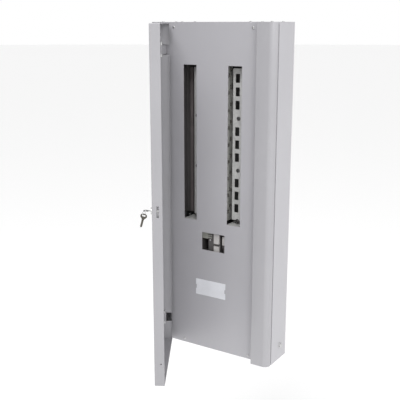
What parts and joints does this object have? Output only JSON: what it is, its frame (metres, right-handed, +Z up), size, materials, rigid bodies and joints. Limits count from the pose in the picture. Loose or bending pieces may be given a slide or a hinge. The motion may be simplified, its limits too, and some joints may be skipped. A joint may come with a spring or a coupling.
{
  "type": "distribution board",
  "caption": "Wall-mounted three-phase distribution board: grey steel box, rounded side trims, slotted cover, hinged lockable door, busbars inside.",
  "frame": {"origin": "middle of the four wall fixing holes, on the back face of the box", "axes": "+X to the right seen from the front, +Y into the wall, +Z up"},
  "size_m": [0.445, 0.426, 1.0644],
  "materials": {
    "box_paint": "satin light grey powder coat",
    "trim_paint": "satin light grey powder coat",
    "cover_paint": "satin light grey powder coat",
    "door_paint": "satin light grey powder coat",
    "zinc": "bright zinc plate",
    "copper": "bare copper",
    "brass": "bare brass",
    "shroud_moulding": "moulded, olive grey",
    "black_moulding": "moulded, black",
    "white_moulding": "moulded, white",
    "label": "blank plastic plate",
    "key_metal": "dull nickel silver",
    "rubber": "soft black rubber"
  },
  "bodies": {
    "cabinet": {"back_box": "box_paint", "top_gland_plate": "zinc", "bottom_gland_plate": "zinc", "gland_screws": "zinc", "corner_screws": "zinc", "trim_left": "trim_paint", "trim_right": "trim_paint", "trim_caps_left": "trim_paint", "trim_caps_right": "trim_paint", "front_cover": "cover_paint", "cover_screws": "zinc", "label_plate": "label", "label_rivets": "cover_paint", "earth_stud": "zinc", "hinge_arm_top": "trim_paint", "hinge_arm_bottom": "trim_paint", "hinge_pins": "zinc", "hinge_screws": "zinc", "pan_plate": "zinc", "pan_pillars": "zinc", "pan_nuts": "zinc", "busbar_l1": "copper", "busbar_l2": "copper", "busbar_l3": "copper", "busbar_supports": "black_moulding", "bus_fingers": "copper", "bus_shroud": "shroud_moulding", "slot_shelves": "zinc", "strip_right": "zinc", "strip_left": "zinc", "strip_posts": "zinc", "strip_screws": "zinc", "left_liner": "black_moulding", "neutral_riser": "copper", "rail_right": "zinc", "incomer_base": "black_moulding", "incomer_covers": "white_moulding", "incomer_block": "shroud_moulding", "incomer_screws": "zinc", "incomer_knob": "black_moulding", "neutral_bar": "brass", "earth_bar": "brass", "bar_blocks": "black_moulding", "bar_screws": "zinc"},
    "door": {"door_panel": "door_paint", "door_hem": "door_paint", "hinge_leaf_top": "zinc", "hinge_leaf_bottom": "zinc", "leaf_rivets": "zinc", "door_buffers": "rubber", "lock_barrel": "zinc", "lock_nut": "zinc"},
    "lock": {"lock_plug": "zinc", "lock_cam": "zinc", "cam_screw": "zinc", "lock_key": "zinc"},
    "ring": {"key_ring": "zinc"},
    "spare": {"spare_key": "key_metal"}
  },
  "joints": [
    {"name": "door_hinge", "type": "hinge", "parent": "cabinet", "child": "door", "pos_m": [-0.1735, -0.128, 0], "axis": [0, 0, 1], "range_deg": [-40.6, 59.4]},
    {"name": "lock_turn", "type": "hinge", "parent": "door", "child": "lock", "pos_m": [-0.01695, -0.40254, 0.011], "axis": [-0.8607, -0.509, 0], "range_deg": [0, 90]},
    {"name": "ring_swing", "type": "hinge", "parent": "lock", "child": "ring", "pos_m": [-0.0341, -0.41897, 0.01242], "axis": [0.9999, 0.0105, 0], "range_deg": [-8, 8]},
    {"name": "spare_swing", "type": "hinge", "parent": "ring", "child": "spare", "pos_m": [-0.0341, -0.41897, 0.00022], "axis": [0.509, -0.8607, 0], "range_deg": [-14, 22]}
  ]
}
